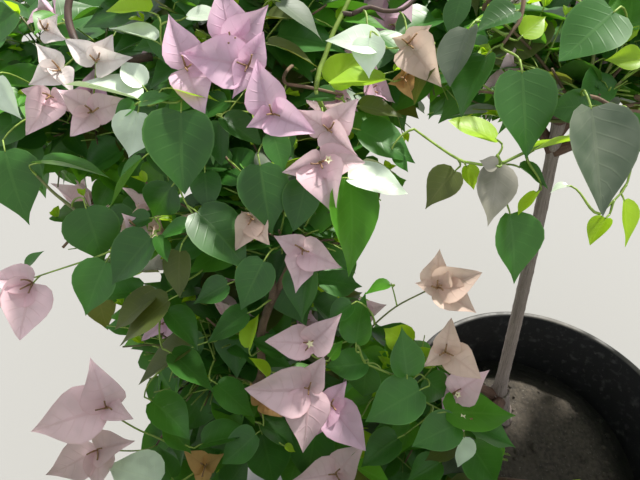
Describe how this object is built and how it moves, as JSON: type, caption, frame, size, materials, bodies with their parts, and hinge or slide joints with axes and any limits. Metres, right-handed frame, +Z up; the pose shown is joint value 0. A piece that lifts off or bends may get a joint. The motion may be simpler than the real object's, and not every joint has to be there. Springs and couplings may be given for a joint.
{
  "type": "potted bougainvillea bush",
  "caption": "Bougainvillea bush with heart-shaped leaves and pale mauve bracts on arching canes, growing in a round black plastic tub of soil",
  "frame": {"origin": "centre of the tub's flat underside, on the surface that the tub stands on", "axes": "+Z is up; +Y is the way the picture's camera looks in plan; +X is to its right; the crown leans to -X"},
  "size_m": [1.5729, 1.3071, 1.3892],
  "materials": {
    "tub": "satin",
    "soil": "matte",
    "old_bark": "matte",
    "cane_bark": "matte",
    "foliage": "satin",
    "bracts": "matte",
    "flowers": "matte",
    "twigs": "satin"
  },
  "bodies": {
    "root": {"bough_back": "cane_bark", "bough_back_right": "cane_bark", "bough_front": "cane_bark", "bough_front_left": "cane_bark", "bough_front_right": "cane_bark", "bough_left": "cane_bark", "bough_low": "cane_bark", "bough_low_back": "cane_bark", "bough_low_right": "cane_bark", "bough_lower_left": "cane_bark", "bough_near": "cane_bark", "bough_right": "cane_bark", "bough_side_left": "cane_bark", "bough_top": "cane_bark", "bough_upper_left": "cane_bark", "cane_back": "cane_bark", "cane_back_left": "cane_bark", "cane_front": "cane_bark", "cane_left": "cane_bark", "foliage_back": "foliage", "foliage_back_left": "foliage", "foliage_back_right": "foliage", "foliage_centre": "foliage", "foliage_front": "foliage", "foliage_front_left": "foliage", "foliage_front_right": "foliage", "foliage_left": "foliage", "foliage_low": "foliage", "foliage_low_back": "foliage", "foliage_low_right": "foliage", "foliage_lower_left": "foliage", "foliage_near": "foliage", "foliage_right": "foliage", "foliage_side_left": "foliage", "foliage_top": "foliage", "foliage_top_centre": "foliage", "foliage_upper_left": "foliage", "leader": "old_bark", "riser_left": "cane_bark", "soil": "soil", "trunk": "old_bark", "tub": "tub"}
  },
  "joints": []
}
